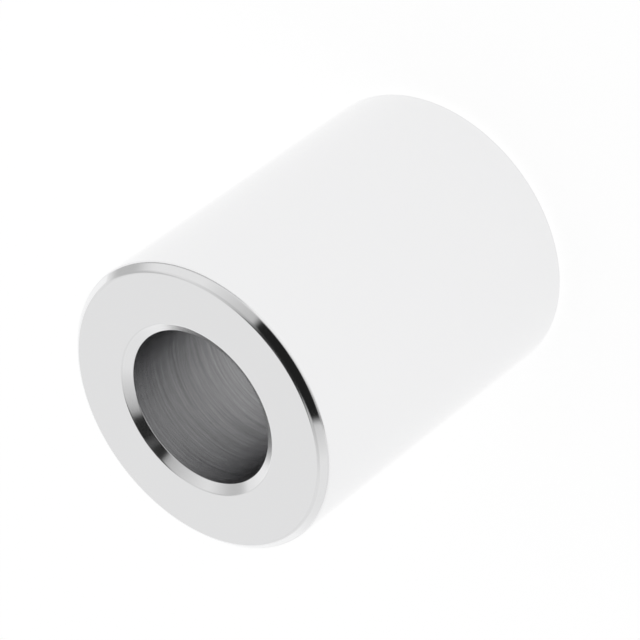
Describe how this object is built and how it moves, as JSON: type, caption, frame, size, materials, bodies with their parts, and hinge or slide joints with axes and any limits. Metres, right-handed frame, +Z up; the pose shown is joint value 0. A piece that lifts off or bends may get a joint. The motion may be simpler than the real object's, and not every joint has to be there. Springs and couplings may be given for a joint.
{
  "type": "spacer sleeve",
  "caption": "Short round metal tube with a plain through bore, flat end faces and chamfered edges, that keeps two bolted parts apart.",
  "frame": {"origin": "centre of the lower end face, on the bore's axis", "axes": "+Z runs up the bore to the upper end face; the sleeve stands on its lower end, and X and Y are any two directions across it"},
  "size_m": [0.012, 0.012, 0.015],
  "materials": {
    "bright_metal": "polished"
  },
  "bodies": {
    "root": {"sleeve": "bright_metal"}
  },
  "joints": []
}
